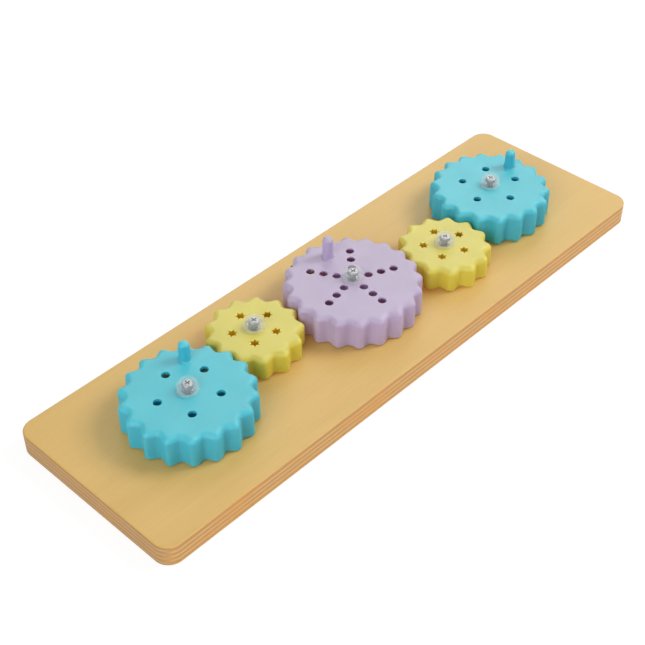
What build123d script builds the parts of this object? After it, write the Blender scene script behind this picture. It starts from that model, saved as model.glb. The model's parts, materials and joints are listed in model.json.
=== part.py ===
from build123d import *

import os
from dataclasses import dataclass
from math import atan2, cos, degrees, hypot, pi, radians, sin, sqrt

# A table-top crank gear toy. Five hollow moulded gears stand in a zigzag row on a plywood board and mesh
# with each other. Three of them carry a finger peg, so turning one by hand turns the whole train.
# Each gear runs on a sleeve that a wood screw clamps to the board, and a clear snap cap hides the screw.
# Sizes are in millimetres and angles in degrees. The origin is the middle of the board's underside,
# +X runs along the board, +Y across it and +Z up.

# ---- Board
board_length = 500.0
board_width = 153.6
board_thickness = 18.0
board_corner_radius = 12.0
board_edge_round = 1.3

# ---- Gear train
tooth_pitch = 16.1          # arc from one tooth to the next along the pitch circle
mesh_play = 0.5             # how much farther apart the gears stand than their pitch circles touch
yellow_sideways = 18.0      # how far each yellow gear stands off the board's long centre line
purple_turn = 80.0          # direction of the purple peg at rest
left_yellow_lag = -2.5      # how far each driven gear rests off the middle of its free play
right_yellow_lag = 2.4
left_blue_lag = 0.8
right_blue_lag = 0.5

# ---- Gear mouldings
wall_thickness = 2.4        # the toothed outer wall
hub_radius = 6.6
rib_thickness = 1.8
rib_rise = 2.0              # the ribs stop this far above the wall's lower edge
rib_count = 5
rim_round = 5.0             # rounding of the tooth tips into the top
rim_foot_round = 0.6        # rounding of the tooth tips at the lower edge
rim_spare = 0.1             # how far both roundings start outside the tooth tips
points_per_tooth = 8        # points that carry the wavy outline round one tooth

# ---- Finger pegs
peg_circle_radius = 31.0
peg_radius = 4.2
peg_tip_radius = 4.0
peg_tip_round = 2.6
peg_foot_flare = 1.4
peg_core_radius = 1.8       # the peg is cored from below, right through the rib under it
peg_tip_wall = 3.0

# ---- Running parts at each gear
sleeve_radius = 4.0
sleeve_bore_radius = 2.6
running_clearance = 0.05    # radial, between the hub's bore and the sleeve
end_float = 0.15            # above and below each gear
thrust_washer_radius = 9.0
thrust_washer_thickness = 0.8
thrust_washer_clearance = 0.35

# ---- Screw and cap
screw_radius = 2.0
pilot_radius = 1.9          # the thread bites into the wood by the difference
screw_bite = 13.4           # how deep the screw goes into the board
pilot_spare = 1.0
screw_point = 4.0
screw_head_radius = 4.0
screw_head_height = 2.8
recess_span = 4.6           # the cross recess, tip to tip
recess_width = 1.1
recess_depth = 1.6
cap_flange_radius = 8.0
cap_flange_thickness = 1.2
cap_bore_radius = 2.4
cap_snap_clearance = 0.05
dome_radius = 7.6
dome_wall = 1.2
dome_height = 7.4           # above the flange
dome_round = 3.6
head_clearance = 0.4        # between the screw head and the dome over it


@dataclass
class GearKind:
    """One moulding of gear, used at one or two places on the board."""

    teeth: int
    height: float
    plate_thickness: float  # the top plate
    tooth_depth: float
    rim_shift: float        # how far the middle of the teeth lies outside the pitch circle
    tooth_offset: float     # direction of a tooth from the gear's own zero
    hole_offset: float      # direction of the first row of holes from the gear's own zero
    hole_circles: tuple     # radius of each ring of holes
    hole_style: str         # round or star
    hole_radius: float
    peg_length: float       # 0 for no peg

    @property
    def pitch_radius(self):
        return self.teeth * tooth_pitch / (2 * pi)

    @property
    def wave_radius(self):
        return self.pitch_radius + self.rim_shift

    @property
    def tip_radius(self):
        return self.wave_radius + self.tooth_depth / 2

    @property
    def rib_offset(self):
        """One rib runs under the peg. Without a peg the ribs run halfway between the rows of holes."""
        return 0.0 if self.peg_length else self.hole_offset + 180 / rib_count


hole_rows = 5
hole_step = 360 / hole_rows

purple_kind = GearKind(teeth=20, height=23.3, plate_thickness=1.6, tooth_depth=4.1, rim_shift=-1.8,
                       tooth_offset=4.6, hole_offset=-33.0, hole_circles=(12.3, 22.3, 32.3),
                       hole_style="round", hole_radius=3.2, peg_length=18.5)
yellow_kind = GearKind(teeth=13, height=18.0, plate_thickness=1.2, tooth_depth=4.4, rim_shift=0.3,
                       tooth_offset=-0.7, hole_offset=0.0, hole_circles=(16.3,),
                       hole_style="star", hole_radius=4.0, peg_length=0.0)
blue_kind = GearKind(teeth=18, height=23.3, plate_thickness=2.6, tooth_depth=4.6, rim_shift=-0.8,
                     tooth_offset=-0.8, hole_offset=-33.0, hole_circles=(22.3,),
                     hole_style="round", hole_radius=3.1, peg_length=15.5)


@dataclass
class Station:
    """One gear's place on the board. turn is the direction of the gear's own zero at rest."""

    name: str
    kind: GearKind
    x: float
    y: float
    turn: float


# ---- Where the gears stand
def centre_distance(first, second):
    return first.pitch_radius + second.pitch_radius + mesh_play


def along_board(first, second):
    """The step along X between two gears whose centres differ by yellow_sideways in Y."""
    return sqrt(centre_distance(first, second) ** 2 - yellow_sideways ** 2)


def meshed_turn(driver, kind, x, y, near_turn, lag):
    """The turn, close to near_turn, that puts a gap of the new gear over the driver's tooth."""
    heading = degrees(atan2(y - driver.y, x - driver.x))
    driver_tooth = driver.turn + driver.kind.tooth_offset
    driver_wave = driver.kind.teeth * (heading - driver_tooth)
    tooth = heading + 180 - (180 - driver_wave) / kind.teeth
    turn = tooth - kind.tooth_offset + lag
    tooth_step = 360 / kind.teeth
    return turn + round((near_turn - turn) / tooth_step) * tooth_step


yellow_x = along_board(purple_kind, yellow_kind)
blue_x = yellow_x + along_board(yellow_kind, blue_kind)

# The directions that each gear's zero has at rest, to the nearest tooth
left_yellow_near = 155.0
right_yellow_near = 285.0
left_blue_near = 53.0
right_blue_near = 7.5

purple = Station("purple", purple_kind, 0.0, 0.0, purple_turn)
left_yellow = Station("left_yellow", yellow_kind, -yellow_x, yellow_sideways, meshed_turn(
    purple, yellow_kind, -yellow_x, yellow_sideways, left_yellow_near, left_yellow_lag))
right_yellow = Station("right_yellow", yellow_kind, yellow_x, -yellow_sideways, meshed_turn(
    purple, yellow_kind, yellow_x, -yellow_sideways, right_yellow_near, right_yellow_lag))
left_blue = Station("left_blue", blue_kind, -blue_x, 0.0, meshed_turn(
    left_yellow, blue_kind, -blue_x, 0.0, left_blue_near, left_blue_lag))
right_blue = Station("right_blue", blue_kind, blue_x, 0.0, meshed_turn(
    right_yellow, blue_kind, blue_x, 0.0, right_blue_near, right_blue_lag))
stations = [purple, left_yellow, right_yellow, left_blue, right_blue]

# ---- Heights that every station shares, from the board's top up
gear_foot = board_thickness + thrust_washer_thickness + end_float


def gear_top(kind):
    return gear_foot + kind.height


def sleeve_top(kind):
    return gear_top(kind) + end_float


def spigot_height():
    """The spigot lifts the screw head to just under the dome."""
    return dome_height - dome_wall - head_clearance - screw_head_height


def screw_seat(kind):
    return sleeve_top(kind) + cap_flange_thickness + spigot_height()


# ---- Small helpers
def polar(radius, direction):
    return (radius * cos(radians(direction)), radius * sin(radians(direction)))


def disc(radius, bottom, height):
    return Pos(0, 0, bottom) * extrude(Circle(radius), height)


def ring(outer, inner, bottom, height):
    return Pos(0, 0, bottom) * extrude(Circle(outer) - Circle(inner), height)


def turned(outline):
    """A solid of revolution from the closed wire of radius and height outline."""
    return revolve(Plane.XZ * make_face(outline), Axis.Z)


def wavy_face(middle_radius, depth, teeth, offset):
    """A closed face whose edge swings evenly in and out, once for each tooth."""
    tooth_step = 360 / teeth
    edges = []
    for tooth in range(teeth):
        start = offset + tooth_step * tooth
        points = []
        for step in range(points_per_tooth + 1):
            swing = step / points_per_tooth
            radius = middle_radius + depth / 2 * cos(2 * pi * swing)
            points.append(polar(radius, start + tooth_step * swing))
        end_directions = (polar(1, start + 90), polar(1, start + tooth_step + 90))
        edges.append(Spline(*points, tangents=end_directions))
    return make_face(Wire(edges))


# ---- Gear mouldings, made about their own axis with the foot at height 0
def rim_envelope(kind):
    """A turned blank that rounds the tooth tips over at the top and eases them at the foot."""
    tip = kind.tip_radius + rim_spare
    top = kind.height
    outline = Wire([
        Line((0, 0), (tip - rim_foot_round, 0)),
        RadiusArc((tip - rim_foot_round, 0), (tip, rim_foot_round), -rim_foot_round),
        Line((tip, rim_foot_round), (tip, top - rim_round)),
        RadiusArc((tip, top - rim_round), (tip - rim_round, top), -rim_round),
        Line((tip - rim_round, top), (0, top)),
        Line((0, top), (0, 0)),
    ])
    return turned(outline)


def cavity(kind):
    """The hollow under the top plate. Its wall follows the teeth, and hub and ribs stand in it."""
    hollow = extrude(wavy_face(kind.wave_radius - wall_thickness, kind.tooth_depth, kind.teeth,
                               kind.tooth_offset), kind.height - kind.plate_thickness)
    hollow -= disc(hub_radius, 0, kind.height)
    rib_length = kind.tip_radius
    for rib in range(rib_count):
        direction = kind.rib_offset + 360 / rib_count * rib
        bar = Pos(rib_length / 2, 0, rib_rise + kind.height / 2) * Box(rib_length, rib_thickness, kind.height)
        hollow -= Rot(0, 0, direction) * bar
    return hollow


def peg_blank(kind):
    """A tapered peg with a flared foot and a rounded tip, from the top plate up."""
    top = kind.peg_length
    root = -kind.plate_thickness / 2
    outline = Wire([
        Line((0, root), (peg_radius + peg_foot_flare, root)),
        Line((peg_radius + peg_foot_flare, root), (peg_radius + peg_foot_flare, 0)),
        RadiusArc((peg_radius + peg_foot_flare, 0), (peg_radius, peg_foot_flare), peg_foot_flare),
        Line((peg_radius, peg_foot_flare), (peg_tip_radius, top - peg_tip_round)),
        RadiusArc((peg_tip_radius, top - peg_tip_round), (peg_tip_radius - peg_tip_round, top),
                  -peg_tip_round),
        Line((peg_tip_radius - peg_tip_round, top), (0, top)),
        Line((0, top), (0, root)),
    ])
    return turned(outline)


def star_outline(radius):
    """A six-pointed star: two triangles laid over each other."""
    inner = radius / sqrt(3)
    points = [polar(radius if corner % 2 == 0 else inner, 30 * corner) for corner in range(12)]
    return make_face(Polyline(*points, close=True))


def hole_face(kind):
    if kind.hole_style == "star":
        return star_outline(kind.hole_radius)
    return Circle(kind.hole_radius)


def gear_moulding(kind):
    blank = extrude(wavy_face(kind.wave_radius, kind.tooth_depth, kind.teeth, kind.tooth_offset), kind.height)
    gear = (blank & rim_envelope(kind)) - cavity(kind)
    if kind.peg_length:
        peg_place = Pos(peg_circle_radius, 0, kind.height)
        gear += peg_place * peg_blank(kind)
        gear -= peg_place * disc(peg_core_radius, -kind.height, kind.height + kind.peg_length - peg_tip_wall)
    hole_foot = kind.height - 2 * kind.plate_thickness
    hole_cut = Pos(0, 0, hole_foot) * extrude(hole_face(kind), 3 * kind.plate_thickness)
    for row in range(hole_rows):
        for circle_radius in kind.hole_circles:
            gear -= Rot(0, 0, kind.hole_offset + hole_step * row) * Pos(circle_radius, 0, 0) * hole_cut
    gear -= disc(sleeve_radius + running_clearance, 0, kind.height)
    return gear


# ---- The board, with a pilot hole for each screw
def board():
    slab = extrude(RectangleRounded(board_length, board_width, board_corner_radius), board_thickness)
    flat_edges = slab.faces().sort_by(Axis.Z)[0].edges() + slab.faces().sort_by(Axis.Z)[-1].edges()
    slab = fillet(flat_edges, board_edge_round)
    pilot_depth = screw_bite + pilot_spare
    for station in stations:
        slab -= Pos(station.x, station.y, 0) * disc(pilot_radius, board_thickness - pilot_depth, pilot_depth)
    return slab


# ---- Running parts and fasteners, made about their own axis at their real height
def thrust_washer():
    inner = sleeve_radius + thrust_washer_clearance
    return ring(thrust_washer_radius, inner, board_thickness, thrust_washer_thickness)


def sleeve(kind):
    return ring(sleeve_radius, sleeve_bore_radius, board_thickness, sleeve_top(kind) - board_thickness)


def cap_base(kind):
    spigot_radius = dome_radius - dome_wall - cap_snap_clearance
    flange_foot = sleeve_top(kind)
    flange = ring(cap_flange_radius, cap_bore_radius, flange_foot, cap_flange_thickness)
    spigot = ring(spigot_radius, cap_bore_radius, flange_foot + cap_flange_thickness, spigot_height())
    return flange + spigot


def screw(kind):
    seat = screw_seat(kind)
    tip = board_thickness - screw_bite
    shoulder = tip + screw_point
    head_top = seat + screw_head_height
    brow = screw_head_height / 2
    outline = Wire([
        Line((0, tip), (screw_radius, shoulder)),
        Line((screw_radius, shoulder), (screw_radius, seat)),
        Line((screw_radius, seat), (screw_head_radius, seat)),
        Line((screw_head_radius, seat), (screw_head_radius, seat + screw_head_height - brow)),
        RadiusArc((screw_head_radius, head_top - brow), (screw_head_radius - brow, head_top), -brow),
        Line((screw_head_radius - brow, head_top), (0, head_top)),
        Line((0, head_top), (0, tip)),
    ])
    body = turned(outline)
    for direction in (0, 90):
        slot = Box(recess_span, recess_width, 2 * recess_depth)
        body -= Pos(0, 0, head_top) * Rot(0, 0, direction) * slot
    return body


def cap_dome(kind):
    foot = sleeve_top(kind) + cap_flange_thickness
    top = foot + dome_height
    inner_radius = dome_radius - dome_wall
    inner_top = top - dome_wall
    inner_round = dome_round - dome_wall
    shell = turned(Wire([
        Line((inner_radius, foot), (dome_radius, foot)),
        Line((dome_radius, foot), (dome_radius, top - dome_round)),
        RadiusArc((dome_radius, top - dome_round), (dome_radius - dome_round, top), -dome_round),
        Line((dome_radius - dome_round, top), (0, top)),
        Line((0, top), (0, inner_top)),
        Line((0, inner_top), (inner_radius - inner_round, inner_top)),
        RadiusArc((inner_radius - inner_round, inner_top), (inner_radius, inner_top - inner_round),
                  inner_round),
        Line((inner_radius, inner_top - inner_round), (inner_radius, foot)),
    ]))
    return shell


# ---- Write one file for each piece
def write(shape, node):
    solids = shape.solids()
    print(node, "solids", len(solids), "volume", round(sum(solid.volume for solid in solids)))
    export_step(solids[0] if len(solids) == 1 else Compound(solids), "parts/" + node + ".step")


os.makedirs("parts", exist_ok=True)
write(board(), "board")
moulding = {id(kind): gear_moulding(kind) for kind in (purple_kind, yellow_kind, blue_kind)}
for station in stations:
    place = Pos(station.x, station.y, 0)
    kind = station.kind
    write(place * Rot(0, 0, station.turn) * Pos(0, 0, gear_foot) * moulding[id(kind)], station.name + "_gear")
    write(place * thrust_washer(), station.name + "_thrust_washer")
    write(place * sleeve(kind), station.name + "_sleeve")
    write(place * cap_base(kind), station.name + "_cap_base")
    write(place * screw(kind), station.name + "_screw")
    write(place * cap_dome(kind), station.name + "_cap_dome")
    print(station.name, "at", round(station.x, 3), station.y, "turn", round(station.turn, 3),
          "top", gear_top(kind))
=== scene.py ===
# %% [markdown]
# # A crank gear toy in Blender
# Five moulded plastic gears stand in a zigzag row on a plywood board and mesh with each other. Three carry
# a finger peg, so turning one gear turns them all. The CAD model fixes every size and every moving body.
# This script only adds looks around it and moves no CAD part.
#
# Lengths are written in millimetres, as on the drawing, and become metres when a mesh is made.

# %% Load the fixed frame
import json
import math

import bmesh
import bpy
import numpy as np
from mathutils import Matrix, Vector


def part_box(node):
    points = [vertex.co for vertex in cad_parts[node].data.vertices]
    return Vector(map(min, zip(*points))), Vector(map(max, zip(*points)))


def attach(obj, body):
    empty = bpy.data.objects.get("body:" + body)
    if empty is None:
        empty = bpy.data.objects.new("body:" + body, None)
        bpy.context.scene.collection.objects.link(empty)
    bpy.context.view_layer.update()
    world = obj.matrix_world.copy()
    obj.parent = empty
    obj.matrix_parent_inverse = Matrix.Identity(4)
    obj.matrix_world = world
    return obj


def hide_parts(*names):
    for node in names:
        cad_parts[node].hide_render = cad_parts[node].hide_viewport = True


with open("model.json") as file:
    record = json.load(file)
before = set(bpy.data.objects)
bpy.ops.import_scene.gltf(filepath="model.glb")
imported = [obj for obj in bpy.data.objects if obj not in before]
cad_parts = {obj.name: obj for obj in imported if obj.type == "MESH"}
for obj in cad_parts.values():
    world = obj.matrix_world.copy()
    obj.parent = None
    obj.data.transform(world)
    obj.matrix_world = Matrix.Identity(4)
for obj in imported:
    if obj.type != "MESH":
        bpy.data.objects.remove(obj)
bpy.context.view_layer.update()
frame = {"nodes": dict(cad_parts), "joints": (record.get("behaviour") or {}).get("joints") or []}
MM = 0.001

# %% [markdown]
# ## The camera
# The photograph was taken from above one corner of the board. The viewing direction is given as a compass
# angle round the board, a height angle above it, and a small roll. The camera stands back from the point it
# looks at by one distance. A long lens keeps the perspective as gentle as it is in the photograph.

# %% Camera
view_round = math.radians(-45.7338)
view_height = math.radians(41.4094)
view_roll = math.radians(-0.6180)
view_target = Vector((-16.314, 15.681, 0.0)) * MM
view_distance = 966.999 * MM
lens_pixels = 1285.084        # focal length in pixels of a frame that is 645 wide
frame_pixels = 645

towards_camera = Vector((math.sin(view_round) * math.cos(view_height),
                         -math.cos(view_round) * math.cos(view_height),
                         math.sin(view_height)))
level_right = Vector((0, 0, 1)).cross(towards_camera).normalized()
level_up = towards_camera.cross(level_right)
right = math.cos(view_roll) * level_right + math.sin(view_roll) * level_up
up = -math.sin(view_roll) * level_right + math.cos(view_roll) * level_up

camera_data = bpy.data.cameras.new("camera")
camera_data.sensor_width = 36.0
camera_data.lens = lens_pixels * camera_data.sensor_width / frame_pixels
camera_data.clip_start = 0.05
camera = bpy.data.objects.new("camera", camera_data)
bpy.context.scene.collection.objects.link(camera)
turn = Matrix((right, up, towards_camera)).transposed().to_4x4()
camera.matrix_world = Matrix.Translation(view_target + towards_camera * view_distance) @ turn
bpy.context.scene.camera = camera
print("lens", round(camera_data.lens, 2), "mm, camera at", [round(c, 3) for c in camera.location])

# %% [markdown]
# ## Node helpers
# Every finish below is a small graph of nodes. A few helpers keep the graphs short. One adds a node and
# fills in its values, and a value that is itself a socket gets linked. Others make an empty material, do
# one step of arithmetic, blend two colours, or turn a number into a colour by a ramp.

# %% Node helpers
def fill(tree, socket, value):
    """Links a socket into an input, or sets the input to a plain value."""
    if isinstance(value, bpy.types.NodeSocket):
        tree.links.new(value, socket)
    else:
        socket.default_value = value


def put(tree, kind, values=None, **settings):
    """Adds one node. settings are its options, and values fill its inputs by name or number."""
    node = tree.nodes.new(kind)
    for name, value in settings.items():
        setattr(node, name, value)
    for key, value in (values or {}).items():
        fill(tree, node.inputs[key], value)
    return node


def new_finish(name):
    finish = bpy.data.materials.new(name)
    finish.use_nodes = True
    finish.node_tree.nodes.clear()
    return finish, finish.node_tree


def calc(tree, operation, *values):
    """One arithmetic step, returned as a socket."""
    return put(tree, "ShaderNodeMath", dict(enumerate(values)), operation=operation).outputs[0]


def blend_colours(tree, amount, first, second, mode="MIX"):
    values = {0: amount, 6: first, 7: second}
    return put(tree, "ShaderNodeMix", values, data_type="RGBA", blend_type=mode).outputs[2]


def ramp(tree, value, *stops):
    """A colour ramp. Each stop is a place from 0 to 1 and a grey level or a colour."""
    node = put(tree, "ShaderNodeValToRGB", {0: value})
    steps = node.color_ramp.elements
    while len(steps) < len(stops):
        steps.new(0.5)
    for step, (place, colour) in zip(steps, stops):
        step.position = place
        step.color = colour if isinstance(colour, tuple) else (colour, colour, colour, 1)
    return node.outputs[0]


def noise(tree, place, scale, detail, **more):
    """A noise value from 0 to 1. scale counts its swells in a metre."""
    values = {"Vector": place, "Scale": scale, "Detail": detail}
    values.update({name.capitalize(): value for name, value in more.items()})
    return put(tree, "ShaderNodeTexNoise", values).outputs[0]


def finish_surface(tree, shader):
    put(tree, "ShaderNodeOutputMaterial", {0: shader.outputs[0]})


print("node helpers ready")

# %% [markdown]
# ## The moulded plastic
# The gears are soft pastel plastic with a fine matte texture from a spark-eroded mould. A matte surface
# scatters light, so the roughness is high, and light goes a little way into the plastic, which is why the
# valleys between the teeth glow in their own colour instead of going grey. A very fine noise gives the
# grain, and a large weak one varies the gloss, as handling does.
#
# Thin plastic also lets some lamp light right through, so the board inside each hollow gear is lit in the
# gear's colour, as its holes show. Real light does that by bouncing about inside the plate, which takes
# very long to compute. A short way is to let only the rays that test for shadow pass, tinted, and more of
# them through the top plate than through the walls. The camera still sees a solid plastic.

# %% Moulded plastic
def moulded_plastic(name, painted_sheen_top_colour, painted_shade_wall_colour, glow, passed):
    """Matte moulded plastic. Faces turned up or down take a paler colour than the walls, as painted sheen on
    the tops and painted shade on the walls. glow is the reach of light inside, in metres, and passed is the
    tint of the lamp light that gets through a surface."""
    finish, tree = new_finish(name)
    coordinates = put(tree, "ShaderNodeTexCoord")
    place = coordinates.outputs["Object"]
    facing = put(tree, "ShaderNodeSeparateXYZ", {0: coordinates.outputs["Normal"]}).outputs[2]
    upward = ramp(tree, calc(tree, "ABSOLUTE", facing), (0.15, 0.0), (0.95, 1.0))
    cloudy = ramp(tree, noise(tree, place, 38.0, 3.0), (0.35, 0.95), (0.62, 1.0))
    # Painted sheen and shade: faces turned up or down take the paler top colour, and walls take the deeper
    # wall colour.
    tint = blend_colours(tree, upward, painted_shade_wall_colour, painted_sheen_top_colour)
    tint = blend_colours(tree, 1.0, tint, cloudy, "MULTIPLY")
    gloss = calc(tree, "MULTIPLY_ADD", noise(tree, place, 90.0, 4.0), 0.16, 0.46)
    bump = put(tree, "ShaderNodeBump", {"Height": noise(tree, place, 2600.0, 2.0), "Strength": 0.10,
                                        "Distance": 0.0002})
    shader = put(tree, "ShaderNodeBsdfPrincipled", {
        "Base Color": tint, "Roughness": gloss, "Normal": bump.outputs[0],
        "Subsurface Weight": 0.85, "Subsurface Radius": (1.0, 1.0, 1.0), "Subsurface Scale": glow,
        "Specular IOR Level": 0.75})
    to_lamp = put(tree, "ShaderNodeLightPath").outputs["Is Shadow Ray"]
    through = put(tree, "ShaderNodeBsdfTransparent", {"Color": passed})
    thin = calc(tree, "MULTIPLY_ADD", upward, 0.4, 0.6)
    finish_surface(tree, put(tree, "ShaderNodeMixShader", {
        0: calc(tree, "MULTIPLY", to_lamp, thin), 1: shader.outputs[0], 2: through.outputs[0]}))
    return finish


# Each top colour is paler than its wall colour, as painted sheen on the tops and painted shade on the walls.
plastics = {
    "blue": moulded_plastic(
        "blue_plastic", painted_sheen_top_colour=(0.065, 0.505, 0.580, 1), painted_shade_wall_colour=(0.040, 0.440, 0.570, 1),
        glow=0.003, passed=(0.10, 0.48, 0.58, 1)),
    "yellow": moulded_plastic(
        "yellow_plastic", painted_sheen_top_colour=(0.625, 0.565, 0.095, 1), painted_shade_wall_colour=(0.640, 0.550, 0.060, 1),
        glow=0.004, passed=(1.00, 0.77, 0.04, 1)),
    "purple": moulded_plastic(
        "purple_plastic", painted_sheen_top_colour=(0.460, 0.385, 0.525, 1), painted_shade_wall_colour=(0.470, 0.375, 0.560, 1),
        glow=0.003, passed=(0.58, 0.38, 0.50, 1)),
}
print("plastics", [finish.name for finish in plastics.values()])

# %% [markdown]
# ## The face of the plywood
# The board is birch plywood under a clear satin lacquer. Its face is one sheet of veneer peeled from a log,
# so the figure runs along the board in broad faint waves with fine fibres and short pores in it. All three
# are the same noise, stretched along the board by different amounts. One small dark knot shows near the
# back edge.

# %% Veneer
knot_place = (0.0, 63.5)
knot_radius = 1.7


def stretched(tree, place, x, y, z):
    """Coordinates scaled by different amounts, so that a noise on them is drawn out."""
    return put(tree, "ShaderNodeMapping", {"Vector": place, "Scale": (x, y, z)}).outputs[0]


def veneer_colour(tree, place, figure, fibres):
    pores = noise(tree, stretched(tree, place, 160.0, 1500.0, 1500.0), 1.0, 1.0)
    colour = ramp(tree, figure, (0.30, (0.590, 0.378, 0.118, 1)), (0.50, (0.625, 0.405, 0.130, 1)),
                  (0.72, (0.645, 0.426, 0.144, 1)))
    colour = blend_colours(tree, 1.0, colour, ramp(tree, fibres, (0.30, 0.955), (0.70, 1.0)), "MULTIPLY")
    return blend_colours(tree, 1.0, colour, ramp(tree, pores, (0.24, 0.89), (0.33, 1.0)), "MULTIPLY")


def with_knot(tree, x, y, colour):
    off_x = calc(tree, "SUBTRACT", x, knot_place[0] * MM)
    off_y = calc(tree, "SUBTRACT", y, knot_place[1] * MM)
    squares = calc(tree, "ADD", calc(tree, "MULTIPLY", off_x, off_x), calc(tree, "MULTIPLY", off_y, off_y))
    away = calc(tree, "DIVIDE", calc(tree, "SQRT", squares), knot_radius * MM)
    return blend_colours(tree, ramp(tree, away, (0.55, 1.0), (1.0, 0.0)), colour, (0.050, 0.025, 0.012, 1))


print("knot", 2 * knot_radius, "mm wide at", knot_place)

# %% [markdown]
# ## The plies in the edge
# Every second ply has its grain turned across the board. On a long side one ply shows pale long grain and
# the next shows darker end grain, and on a short side the two change places, slowly round each corner. The
# graph counts the plies by height. Thin glue lines part them, the first ply under the face is darker, and
# warm patches break the bands up, because real plies are never quite even.

# %% Plies in the edge
ply_thickness = 2.0
ply_wander = 0.6             # how far the plies wave up and down
glue_thickness = 0.28
board_top = 18.0


def edge_colour(tree, place, height, facing_x):
    """The colour of the board's edge, with painted shade on both short sides, and where the glue lines are.
    """
    wander = calc(tree, "MULTIPLY_ADD", noise(tree, place, 14.0, 2.0), ply_wander * MM, -ply_wander / 2 * MM)
    wavy_height = calc(tree, "ADD", height, wander)
    plies = calc(tree, "DIVIDE", wavy_height, ply_thickness * MM)
    turned_ply = calc(tree, "MODULO", calc(tree, "FLOOR", plies), 2.0)
    short_side = ramp(tree, calc(tree, "ABSOLUTE", facing_x), (0.45, 0.0), (0.90, 1.0))
    end_grain = calc(tree, "ABSOLUTE", calc(tree, "SUBTRACT", turned_ply, short_side))
    streaks = noise(tree, stretched(tree, place, 45.0, 45.0, 1500.0), 1.0, 3.0, roughness=0.6)
    long_colour = ramp(tree, streaks, (0.30, (0.620, 0.365, 0.130, 1)), (0.70, (0.720, 0.450, 0.185, 1)))
    specks = noise(tree, place, 1300.0, 2.0)
    end_colour = ramp(tree, specks, (0.30, (0.500, 0.240, 0.062, 1)), (0.70, (0.610, 0.315, 0.090, 1)))
    colour = blend_colours(tree, end_grain, long_colour, end_colour)
    patches = ramp(tree, noise(tree, stretched(tree, place, 24.0, 24.0, 150.0), 1.0, 2.0),
                   (0.50, 0.0), (0.66, 0.45))
    colour = blend_colours(tree, patches, colour, (0.720, 0.330, 0.075, 1))
    off_middle = calc(tree, "ABSOLUTE", calc(tree, "SUBTRACT", calc(tree, "FRACT", plies), 0.5))
    glue = calc(tree, "GREATER_THAN", off_middle, 0.5 - glue_thickness / 2 / ply_thickness)
    colour = blend_colours(tree, calc(tree, "MULTIPLY", glue, 0.22), colour, (0.270, 0.120, 0.040, 1))
    under_face = ramp(tree, calc(tree, "DIVIDE", height, board_top * MM),
                      (0.84, 0.0), (0.88, 0.55), (0.93, 0.55), (0.955, 0.0))
    colour = blend_colours(tree, under_face, colour, (0.480, 0.255, 0.080, 1))
    # Painted shade: both short sides are darkened and cooled by one fixed factor.
    short_side_painted_shade = blend_colours(tree, 1.0, colour, (0.74, 0.77, 0.88, 1), "MULTIPLY")
    return blend_colours(tree, short_side, colour, short_side_painted_shade), glue


print("plies in the edge", round(board_top / ply_thickness))

# %% [markdown]
# ## The plywood put together
# Surfaces that face up or down are veneer, and surfaces that face sideways show the plies. The fibres stand
# up a little through the lacquer, and the glue lines lie a little deeper, so both go into the bump.

# %% Plywood
def plywood_finish():
    finish, tree = new_finish("birch_plywood")
    coordinates = put(tree, "ShaderNodeTexCoord")
    place = coordinates.outputs["Object"]
    facing = put(tree, "ShaderNodeSeparateXYZ", {0: coordinates.outputs["Normal"]})
    x, y, z = put(tree, "ShaderNodeSeparateXYZ", {0: place}).outputs
    figure = noise(tree, stretched(tree, place, 3.2, 22.0, 22.0), 1.0, 4.0, roughness=0.55, distortion=1.2)
    fibres = noise(tree, stretched(tree, place, 26.0, 900.0, 900.0), 1.0, 3.0, roughness=0.6)
    veneer = with_knot(tree, x, y, veneer_colour(tree, place, figure, fibres))
    edge, glue = edge_colour(tree, place, z, facing.outputs[0])
    flat = ramp(tree, calc(tree, "ABSOLUTE", facing.outputs[2]), (0.60, 0.0), (0.85, 1.0))
    relief = calc(tree, "ADD", calc(tree, "MULTIPLY", fibres, 0.6),
                  calc(tree, "MULTIPLY", glue, calc(tree, "SUBTRACT", flat, 1.0)))
    bump = put(tree, "ShaderNodeBump", {"Height": relief, "Strength": 0.18, "Distance": 0.0002})
    finish_surface(tree, put(tree, "ShaderNodeBsdfPrincipled", {
        "Base Color": blend_colours(tree, flat, edge, veneer), "Normal": bump.outputs[0],
        "Roughness": calc(tree, "MULTIPLY_ADD", figure, 0.14, 0.36), "Specular IOR Level": 0.28}))
    return finish


plywood = plywood_finish()
print("plywood with", len(plywood.node_tree.nodes), "nodes")

# %% [markdown]
# ## Steel and nylon
# The screw and sleeve are zinc-plated steel: a dull metal with fine marks and faint patches. The thrust
# washer is plain nylon, milky and slightly uneven.

# %% Steel and nylon
def steel_finish():
    finish, tree = new_finish("zinc_plated_steel")
    place = put(tree, "ShaderNodeTexCoord").outputs["Object"]
    patches = noise(tree, place, 700.0, 3.0)
    colour = ramp(tree, patches, (0.3, (0.34, 0.35, 0.35, 1)), (0.7, (0.42, 0.43, 0.44, 1)))
    bump = put(tree, "ShaderNodeBump", {"Height": noise(tree, place, 3500.0, 1.0), "Strength": 0.15,
                                        "Distance": 0.0001})
    finish_surface(tree, put(tree, "ShaderNodeBsdfPrincipled", {
        "Base Color": colour, "Roughness": calc(tree, "MULTIPLY_ADD", patches, 0.20, 0.44), "Metallic": 1.0,
        "Normal": bump.outputs[0]}))
    return finish


def nylon_finish():
    finish, tree = new_finish("natural_nylon")
    place = put(tree, "ShaderNodeTexCoord").outputs["Object"]
    colour = ramp(tree, noise(tree, place, 400.0, 2.0), (0.3, (0.70, 0.69, 0.63, 1)),
                  (0.7, (0.80, 0.79, 0.74, 1)))
    finish_surface(tree, put(tree, "ShaderNodeBsdfPrincipled", {"Base Color": colour, "Roughness": 0.45}))
    return finish


steel = steel_finish()
nylon = nylon_finish()
print("finishes", steel.name, nylon.name)

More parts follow.
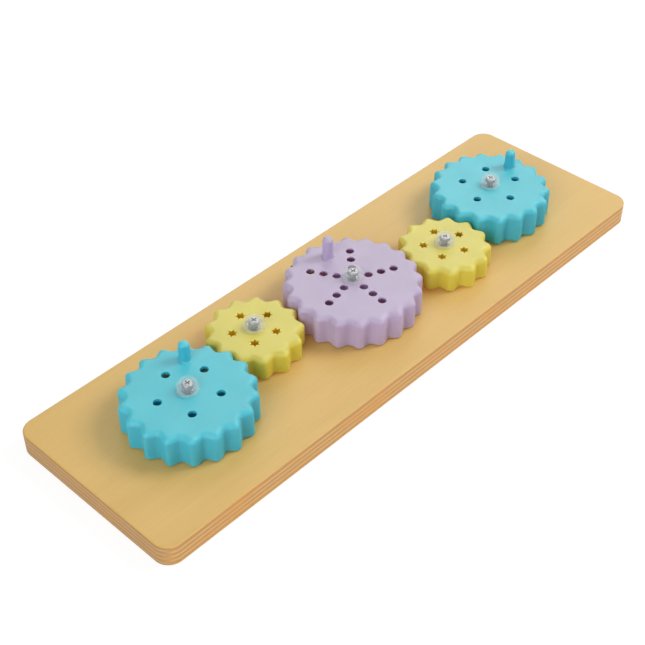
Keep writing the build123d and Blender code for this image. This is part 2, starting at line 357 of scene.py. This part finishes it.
# %% [markdown]
# ## Clear plastic
# The screw caps are thin polished clear plastic. Glass that bends light is the true way to draw them, but
# so small and thin a dome comes out as a glaring bead. Here the plastic is mostly see-through, and only a
# faint veil is left that thickens where the surface turns away from the eye, as a thin clear wall does.

# %% Clear plastic
def clear_finish():
    finish, tree = new_finish("clear_plastic")
    place = put(tree, "ShaderNodeTexCoord").outputs["Object"]
    gloss = calc(tree, "MULTIPLY_ADD", noise(tree, place, 350.0, 2.0), 0.05, 0.06)
    grazing = put(tree, "ShaderNodeLayerWeight", {"Blend": 0.5}).outputs["Facing"]
    veil = calc(tree, "MULTIPLY_ADD", calc(tree, "POWER", grazing, 2.5), 0.28, 0.06)
    finish_surface(tree, put(tree, "ShaderNodeBsdfPrincipled", {
        "Base Color": (0.90, 0.92, 0.93, 1), "Roughness": gloss, "IOR": 1.47, "Alpha": veil}))
    return finish


clear_plastic = clear_finish()
print("finishes", [m.name for m in bpy.data.materials])

# %% [markdown]
# ## Turned and moulded meshes
# Most pieces are turned on a lathe or moulded round an axis. A turned piece is a profile of radius and
# height swept round in even steps. A ring piece is a stack of closed rings, joined by quads. Both come out
# closed.

# %% Mesh makers
def mesh_object(name, points, faces, finish):
    mesh = bpy.data.meshes.new(name)
    mesh.from_pydata([tuple(p) for p in points], [], faces)
    mesh.materials.append(finish)
    mesh.update()
    piece = bpy.data.objects.new(name, mesh)
    bpy.context.scene.collection.objects.link(piece)
    return piece


def stack_rings(rings, closed=False):
    """Points and quads from rings of equal length. closed joins the last ring to the first."""
    count = len(rings[0])
    points = [p for one in rings for p in one]
    faces = []
    last = len(rings) if closed else len(rings) - 1
    for row in range(last):
        here, above = row * count, (row + 1) % len(rings) * count
        for step in range(count):
            after = (step + 1) % count
            faces.append((here + step, here + after, above + after, above + step))
    return points, faces


def turned_points(profile, steps=64, centre=(0, 0)):
    """A lathe-turned closed solid. The profile runs from the axis back to the axis, or is a closed loop that
    never meets the axis. Lengths are in millimetres."""
    hollow = profile[0][0] > 0
    inner = profile if hollow else profile[1:-1]
    rings = []
    for radius, height in inner:
        ring = []
        for step in range(steps):
            angle = 2 * math.pi * step / steps
            ring.append(((centre[0] + radius * math.cos(angle)) * MM,
                         (centre[1] + radius * math.sin(angle)) * MM, height * MM))
        rings.append(ring)
    points, faces = stack_rings(rings, closed=hollow)
    if not hollow:
        first_pole = len(points)
        points += [(centre[0] * MM, centre[1] * MM, profile[0][1] * MM),
                   (centre[0] * MM, centre[1] * MM, profile[-1][1] * MM)]
        last_row = (len(inner) - 1) * steps
        for step in range(steps):
            after = (step + 1) % steps
            faces.append((first_pole, after, step))
            faces.append((first_pole + 1, last_row + step, last_row + after))
    return points, faces


def arc(centre_radius, centre_height, radius, start, end, steps):
    """Profile points on a part of a circle, by angle in degrees."""
    found = []
    for step in range(steps + 1):
        angle = math.radians(start + (end - start) * step / steps)
        found.append((centre_radius + radius * math.cos(angle), centre_height + radius * math.sin(angle)))
    return found


print("mesh makers ready")

# %% [markdown]
# ## Joining, cutting and shading
# A boolean modifier joins or cuts exactly, and its result is kept as a plain mesh. Afterwards every face is
# shaded smoothly except at sharp edges, and normals weighted by face size keep large flat faces flat.

# %% Joining, cutting and shading
def merge(parts):
    """One list of points and faces from several."""
    points, faces = [], []
    for part_points, part_faces in parts:
        start = len(points)
        points += list(part_points)
        faces += [tuple(start + index for index in face) for face in part_faces]
    return points, faces


def carve(piece, tool, way):
    """Joins a tool to a piece or cuts it out, and keeps the result as the piece's own mesh."""
    cut = piece.modifiers.new("carve", "BOOLEAN")
    cut.object = tool
    cut.operation = way
    cut.solver = "EXACT"
    bpy.context.view_layer.update()
    result = bpy.data.meshes.new_from_object(piece.evaluated_get(bpy.context.evaluated_depsgraph_get()))
    piece.modifiers.clear()
    piece.data = result
    bpy.data.objects.remove(tool)


def keep_flat_faces_flat(piece):
    weighted = piece.modifiers.new("flat_faces_stay_flat", "WEIGHTED_NORMAL")
    weighted.keep_sharp = True


def mark_sharp_edges(mesh, angle=35.0):
    """Shades smoothly, but keeps every edge sharper than the angle. Points that coincide become one."""
    shape = bmesh.new()
    shape.from_mesh(mesh)
    bmesh.ops.remove_doubles(shape, verts=shape.verts, dist=1e-7)
    bmesh.ops.recalc_face_normals(shape, faces=shape.faces)
    for face in shape.faces:
        face.smooth = True
    for edge in shape.edges:
        edge.smooth = len(edge.link_faces) == 2 and edge.calc_face_angle(0.0) < math.radians(angle)
    shape.to_mesh(mesh)
    shape.free()


print("joining, cutting and shading ready")

# %% [markdown]
# ## What each gear mould looks like
# There are three moulds. The rim of each gear is a wave: the radius swings evenly in and out, once per
# tooth, so any two of the gears roll on each other. The numbers are the drawing's, in millimetres and
# degrees, and every direction counts from the gear's own zero.

# %% Gear moulds
tooth_pitch = 16.1
wall = 2.4
hub_radius = 6.6
bore_radius = 4.05
moulds = {
    "blue": dict(teeth=18, height=23.3, plate=2.6, depth=4.6, shift=-0.8, tooth_at=-0.8, holes_at=-33.0,
                 ribs_at=0.0, circles=(22.3,), hole="round", hole_radius=3.1, peg=15.5),
    "yellow": dict(teeth=13, height=18.0, plate=1.2, depth=4.4, shift=0.3, tooth_at=-0.7, holes_at=0.0,
                   ribs_at=36.0, circles=(16.3,), hole="star", hole_radius=4.0, peg=0.0),
    "purple": dict(teeth=20, height=23.3, plate=1.6, depth=4.1, shift=-1.8, tooth_at=4.6, holes_at=-33.0,
                   ribs_at=0.0, circles=(12.3, 22.3, 32.3), hole="round", hole_radius=3.2, peg=18.5),
}
for mould in moulds.values():
    mould["middle"] = mould["teeth"] * tooth_pitch / (2 * math.pi) + mould["shift"]
    mould["valley"] = mould["middle"] - mould["depth"] / 2
print("middle radius", {name: round(mould["middle"], 2) for name, mould in moulds.items()})

# %% [markdown]
# ## The rounded top
# The top of each gear is rounded over like a cushion, by the same amount all along the wavy wall. The
# height at a point therefore depends only on how far the point is from the wall in plan. That distance is
# measured to a finely divided outline, and a quarter circle turns it into a height. A light smoothing round
# the gear melts the ridge that would run along each tooth.

# %% Rounded top
rim_round = 4.2              # how far the rounding of the top reaches in from the wall
outline_steps_per_tooth = 60


def wave_radius(mould, angle):
    swing = np.cos(mould["teeth"] * (angle - math.radians(mould["tooth_at"])))
    return mould["middle"] + mould["depth"] / 2 * swing


def top_height(mould, radius, angle):
    """Height of the rounded top over each point of one ring."""
    fine = np.linspace(0, 2 * math.pi, mould["teeth"] * outline_steps_per_tooth, endpoint=False)
    outline = wave_radius(mould, fine) * np.exp(1j * fine)
    ring = radius * np.exp(1j * angle)
    away = np.abs(ring[:, None] - outline[None, :]).min(1)
    away[radius >= wave_radius(mould, angle) - 1e-6] = 0.0
    missing = np.clip(rim_round - away, 0, rim_round)
    return mould["height"] - rim_round + np.sqrt(rim_round ** 2 - missing ** 2)


def smooth_round(values, passes=2):
    for _ in range(passes):
        values = 0.25 * np.roll(values, 1) + 0.5 * values + 0.25 * np.roll(values, -1)
    return values


print("top rounded over", rim_round, "mm")

# %% [markdown]
# ## One shell for each mould
# The whole moulding without ribs, peg or holes is one closed sheet: from the bore out over the top, down
# the toothed wall, and back through the hollow underneath to the hub. Each ring of the stack follows the
# wave, so the wall keeps its thickness in every tooth.

# %% Gear shell
columns_per_tooth = 20
round_steps = 14             # rings from the flat top to the wall
flat_margin = 0.5            # the flat top ends this far inside the rounding
hub_margin = 2.0             # one more ring lies on the flat top, this far outside the hub
foot_round = 0.6
edge_ease = 0.3              # small bevel on every edge that is not rounded
bore_ease = 0.2


def ring_of(radius, height, angle):
    radius = np.broadcast_to(radius, angle.shape)
    height = np.broadcast_to(height, angle.shape)
    return list(zip(radius * np.cos(angle) * MM, radius * np.sin(angle) * MM, height * MM))


def gear_shell(mould):
    angle = np.linspace(0, 2 * math.pi, mould["teeth"] * columns_per_tooth, endpoint=False)
    rim = wave_radius(mould, angle)
    top = mould["height"]
    ceiling = top - mould["plate"]
    flat_edge = mould["valley"] - rim_round - flat_margin
    stack = [(bore_radius, top - edge_ease), (bore_radius + edge_ease, top), (hub_radius + hub_margin, top),
             (flat_edge, top)]
    for step in range(round_steps - 1, 0, -1):
        inward = 1 - math.cos(math.radians(90 * step / round_steps))
        radius = rim - (rim - flat_edge) * inward
        stack.append((radius, smooth_round(top_height(mould, radius, angle))))
    stack += [(rim, top - rim_round), (rim, top / 2)]
    stack += [(rim + reach, height) for reach, height in arc(-foot_round, foot_round, foot_round, 0, -90, 3)]
    stack += [(rim - wall + edge_ease, 0.0), (rim - wall, edge_ease), (rim - wall, ceiling),
              (hub_radius, ceiling), (hub_radius, edge_ease), (hub_radius - edge_ease, 0.0),
              (bore_radius + bore_ease, 0.0), (bore_radius, bore_ease)]
    return stack_rings([ring_of(radius, height, angle) for radius, height in stack], closed=True)


print("shell points", {name: len(gear_shell(mould)[0]) for name, mould in moulds.items()})

# %% [markdown]
# ## The ribs
# Five ribs stiffen the hollow from the hub to the wall. One runs under the peg, and on the yellow gears
# they run halfway between the holes. Each is a plain bar whose ends sink into the hub and the wall, where
# the join hides them.

# %% Ribs
rib_count = 5
rib_thickness = 1.8
rib_foot = 2.0               # the ribs stop this far above the wall's lower edge
rib_root = 1.5               # how far each rib sinks into the hub


def about_axis(direction):
    return Matrix.Rotation(math.radians(direction), 3, "Z")


def bar_points(start, end, width, low, high, direction):
    corners = [(x, y, z) for z in (low, high) for x, y in
               ((start, -width / 2), (end, -width / 2), (end, width / 2), (start, width / 2))]
    points = [about_axis(direction) @ (Vector(c) * MM) for c in corners]
    return points, [(3, 2, 1, 0), (4, 5, 6, 7), (0, 1, 5, 4), (1, 2, 6, 5), (2, 3, 7, 6), (3, 0, 4, 7)]


def ribs_of(mould):
    start, end = hub_radius - rib_root, mould["valley"] - wall / 2
    top = mould["height"] - mould["plate"] / 2
    return [bar_points(start, end, rib_thickness, rib_foot, top, mould["ribs_at"] + 360 / rib_count * rib)
            for rib in range(rib_count)]


print("ribs on each gear", rib_count)

# %% [markdown]
# ## The finger peg
# The peg grows out of the top through a small flared foot and ends in a round tip. It is cored from below,
# right through the rib, so that it cools without a dent. Both the peg and its core are turned profiles, one
# to join and one to cut.

# %% Finger peg
peg_circle = 31.0
peg_radius, peg_tip_radius = 4.2, 4.0
peg_flare = 1.4
peg_tip_round = 3.2
peg_sink = 0.03              # the flare starts this far under the top, so that the join is clean
core_radius = 1.8
core_tip = 0.6               # length of the cone that ends the core
peg_tip_wall = 3.0
cutter_spare = 1.0           # how far a cutter reaches past what it cuts


def peg_of(mould):
    top, tip = mould["height"], mould["height"] + mould["peg"]
    root, flare_radius = top - mould["plate"] / 2, peg_radius + peg_flare
    profile = [(0, root), (flare_radius, root)]
    profile += arc(flare_radius, top - peg_sink + peg_flare, peg_flare, 270, 180, 6)
    profile += arc(peg_tip_radius - peg_tip_round, tip - peg_tip_round, peg_tip_round, 4, 88, 8)
    profile.append((0, tip))
    return turned_points(profile, 48, (peg_circle, 0))


def peg_core_of(mould):
    core_top = mould["height"] + mould["peg"] - peg_tip_wall
    profile = [(0, -cutter_spare), (core_radius, -cutter_spare), (core_radius, core_top - core_tip),
               (0, core_top)]
    return turned_points(profile, 24, (peg_circle, 0))


print("peg heights", {name: mould["peg"] for name, mould in moulds.items()})

# %% [markdown]
# ## The holes
# The blue and purple gears have round holes and the yellow ones six-pointed stars, in five rows. Each
# cutter is a stack of rings with a flared mouth, which leaves a slightly eased rim. A star is a ring of
# twelve corners, every second one drawn in.

# %% Hole cutters
hole_rows = 5
hole_ease = 0.3


def hole_tool(mould, radius, direction):
    top = mould["height"]
    levels = ((top - mould["plate"] - cutter_spare, 0.0), (top - hole_ease, 0.0),
              (top - hole_ease / 3, hole_ease / 3), (top + 0.001, hole_ease),
              (top + cutter_spare, hole_ease))
    star = mould["hole"] == "star"
    corners = 12 if star else 40
    rings = []
    for height, wider in levels:
        ring = []
        for corner in range(corners):
            reach = mould["hole_radius"] / math.sqrt(3) if star and corner % 2 else mould["hole_radius"]
            reach += wider
            angle = 2 * math.pi * corner / corners
            spot = Vector((radius + reach * math.cos(angle), reach * math.sin(angle), height))
            ring.append(about_axis(direction) @ (spot * MM))
        rings.append(ring)
    points, faces = stack_rings(rings)
    faces.append(tuple(reversed(range(corners))))
    faces.append(tuple(range(len(points) - corners, len(points))))
    return points, faces


print("holes", {name: hole_rows * len(mould["circles"]) for name, mould in moulds.items()})

# %% [markdown]
# ## The finished mouldings
# The ribs and the peg are joined to the shell, and then all the holes are cut in one go. Each mould is made
# once, and the two yellow and the two blue gears will share theirs.

# %% Finished mouldings
def make_gear(name, mould, finish):
    gear = mesh_object(name, *gear_shell(mould), finish)
    added = ribs_of(mould)
    cutters = [hole_tool(mould, radius, mould["holes_at"] + 360 / hole_rows * row)
               for row in range(hole_rows) for radius in mould["circles"]]
    if mould["peg"]:
        added.append(peg_of(mould))
        cutters.append(peg_core_of(mould))
    carve(gear, mesh_object("added", *merge(added), finish), "UNION")
    carve(gear, mesh_object("cutters", *merge(cutters), finish), "DIFFERENCE")
    mark_sharp_edges(gear.data)
    return gear


gear_patterns = {name: make_gear(name + "_pattern", mould, plastics[name]) for name, mould in moulds.items()}
for name, gear in gear_patterns.items():
    print(name, "gear", len(gear.data.vertices), "points", len(gear.data.polygons), "faces")

# %% [markdown]
# ## Setting the gears on the board
# Each gear goes where its CAD node stands. The centre comes from the joint that carries it, the foot from
# the node's own box, and the turn is the drawing's. Every gear rides on its own turning body and stands for
# the CAD solid, which stays hidden.

# %% Set the gears
stations = {                 # the mould of each gear, and how far it is turned
    "purple": ("purple", 80.0),
    "left_yellow": ("yellow", 155.495),
    "right_yellow": ("yellow", 285.010),
    "left_blue": ("blue", 52.216),
    "right_blue": ("blue", 8.377),
}
centres = {joint["name"].removesuffix("_spin"): Vector(joint["pos_m"][:2]) / MM for joint in frame["joints"]}


def foot_of(node):
    """Height of a CAD node's lowest point, in millimetres."""
    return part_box(node)[0].z / MM


for station, (pattern, turn_degrees) in stations.items():
    mesh = gear_patterns[pattern].data.copy()
    centre = centres[station]
    place = Matrix.Translation(Vector((centre.x, centre.y, foot_of(station + "_gear"))) * MM)
    mesh.transform(place @ about_axis(turn_degrees).to_4x4())
    gear = bpy.data.objects.new(station + "_gear_moulding", mesh)
    bpy.context.scene.collection.objects.link(gear)
    keep_flat_faces_flat(gear)
    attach(gear, station + "_turning_gear")
    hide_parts(station + "_gear")
    print(station, "at", [round(c, 1) for c in centre], "turned", turn_degrees)
for gear in gear_patterns.values():
    bpy.data.objects.remove(gear)

# %% [markdown]
# ## The clear caps
# A snap cap has two clear mouldings. The base is a washer with a collar that the screw clamps down and that
# lifts the screw head to just under the dome. The dome snaps over the collar. Both are turned pieces with
# every edge rounded, because a polished moulding has no sharp corner.

# %% Clear caps
dome_radius = 7.6
dome_wall = 1.2
dome_height = 7.4
dome_round, inner_round = 4.0, 3.5
lip_height = 2.6
dome_ease = (0.15, 0.2)      # inside and outside edge of the dome's lip
flange_radius = 8.0
flange_thickness = 1.2
flange_round = 0.4
collar_radius = 6.33
collar_height = 3.0
cap_bore_radius = 2.4
cap_ease = 0.2


def cap_dome_profile(foot):
    top, inner_top = foot + dome_height, foot + dome_height - dome_wall
    inner_radius = dome_radius - dome_wall
    inside = [(0, inner_top)]
    inside += arc(inner_radius - inner_round, inner_top - inner_round, inner_round, 84, 0, 10)
    lip = [(inner_radius, foot + dome_ease[0]), (inner_radius + dome_ease[0], foot),
           (dome_radius - dome_ease[1], foot), (dome_radius, foot + dome_ease[1]),
           (dome_radius, foot + lip_height)]
    outside = arc(dome_radius - dome_round, top - dome_round, dome_round, 0, 84, 12) + [(0, top)]
    return inside + lip + outside


def cap_base_profile(foot):
    flange_top = foot + flange_thickness
    collar_top = flange_top + collar_height
    flange = [(cap_bore_radius, foot + cap_ease), (cap_bore_radius + cap_ease, foot),
              (flange_radius - cap_ease, foot), (flange_radius, foot + 0.25),
              (flange_radius, flange_top - flange_round)]
    flange += arc(flange_radius - flange_round, flange_top - flange_round, flange_round, 0, 90, 4)
    collar = [(collar_radius + 0.12, flange_top), (collar_radius, flange_top + 0.15),
              (collar_radius, collar_top - cap_ease), (collar_radius - 0.23, collar_top),
              (cap_bore_radius + cap_ease, collar_top), (cap_bore_radius, collar_top - cap_ease)]
    return flange + collar


for station in stations:
    for piece_name, profile_of in (("cap_dome", cap_dome_profile), ("cap_base", cap_base_profile)):
        node = station + "_" + piece_name
        points, faces = turned_points(profile_of(foot_of(node)), centre=centres[station])
        cap = mesh_object(station + "_clear_" + piece_name, points, faces, clear_plastic)
        mark_sharp_edges(cap.data)
        keep_flat_faces_flat(cap)
        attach(cap, "base")
        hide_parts(node)
print("caps on", len(stations), "gears")

# %% [markdown]
# ## Finishes for the CAD pieces that stay
# The board, screws, sleeves and thrust washers already have their true shape in the CAD model, so they only
# get their finish.

# %% Finishes for CAD pieces
kept_finishes = {"board": plywood, "screw": steel, "sleeve": steel, "thrust_washer": nylon}
for name, node in frame["nodes"].items():
    for ending, finish in kept_finishes.items():
        if name.endswith(ending):
            node.data.materials.clear()
            node.data.materials.append(finish)
print("CAD pieces kept", sum(name.endswith(tuple(kept_finishes)) for name in frame["nodes"]))

# %% [markdown]
# ## The floor
# The toy lies on a white sweep. For the camera, the floor is a mix of plain white and a white surface, so
# the page stays white but a soft shadow is left. For every other ray it is just a white surface, which
# lights the toy from below as a studio table does.

# %% Floor
floor_reach = 6.0
floor_drop = 0.0005          # keeps the floor just clear of the board's underside


def floor_finish():
    finish, tree = new_finish("white_sweep")
    paths = put(tree, "ShaderNodeLightPath")
    seen = calc(tree, "MAXIMUM", paths.outputs["Is Camera Ray"], paths.outputs["Is Transmission Ray"])
    surface = put(tree, "ShaderNodeBsdfDiffuse", {"Color": (0.86, 0.86, 0.86, 1)})
    page = put(tree, "ShaderNodeEmission", {"Color": (1, 1, 1, 1), "Strength": 1.08})
    finish_surface(tree, put(tree, "ShaderNodeMixShader", {
        0: calc(tree, "MULTIPLY", seen, 0.80), 1: surface.outputs[0], 2: page.outputs[0]}))
    return finish


floor_corners = [(x * floor_reach, y * floor_reach, 0) for x, y in ((-1, -1), (1, -1), (1, 1), (-1, 1))]
floor = mesh_object("floor", floor_corners, [(0, 1, 2, 3)], floor_finish())
floor.location.z = -floor_drop
print("floor", 2 * floor_reach, "m wide")

# %% [markdown]
# ## Lamps and sky
# The main lamp is large and stands to the right, so the shadows are soft and fall to the left, and a cooler
# fill lamp stands on the left. Behind the toy hangs a large bright card that shows only in reflections.
# Every level surface mirrors it, and that makes the tops of the gears look milky. The sky is white where
# the camera looks past the toy, and dimmer as a light.

# %% Lamps and sky
sky_light = 0.46             # strength of the sky as a light. The camera sees it at 1


def soft_lamp(name, place, size, power, colour=(1, 1, 1)):
    """A round lamp that faces the middle of the toy. Its place and size are in metres."""
    data = bpy.data.lights.new(name, "AREA")
    data.shape = "DISK"
    data.size = size
    data.energy = power
    data.color = colour
    lamp = bpy.data.objects.new(name, data)
    bpy.context.scene.collection.objects.link(lamp)
    lamp.location = place
    lamp.rotation_euler = Vector(place).to_track_quat("Z", "Y").to_euler()
    return lamp


soft_lamp("main_lamp", place=(1.70, -1.00, 1.85), size=1.3, power=45.0, colour=(1.0, 0.985, 0.96))
soft_lamp("fill_lamp", place=(-1.9, -0.5, 1.1), size=1.5, power=26.0, colour=(0.95, 0.98, 1.0))
mirror_card = soft_lamp("mirror_card", place=(1.40, 1.10, 1.46), size=2.0, power=28.5)
mirror_card.visible_diffuse = False

world = bpy.data.worlds.new("studio_sky")
world.use_nodes = True
bpy.context.scene.world = world
sky = world.node_tree
sky.nodes.clear()
paths = put(sky, "ShaderNodeLightPath")
seen = calc(sky, "MAXIMUM", paths.outputs["Is Camera Ray"], paths.outputs["Is Transmission Ray"])
strength = calc(sky, "MULTIPLY_ADD", seen, 1 - sky_light, sky_light)
background = put(sky, "ShaderNodeBackground", {"Color": (1, 1, 1, 1), "Strength": strength})
put(sky, "ShaderNodeOutputWorld", {0: background.outputs[0]})
bpy.context.scene.view_settings.view_transform = "Standard"
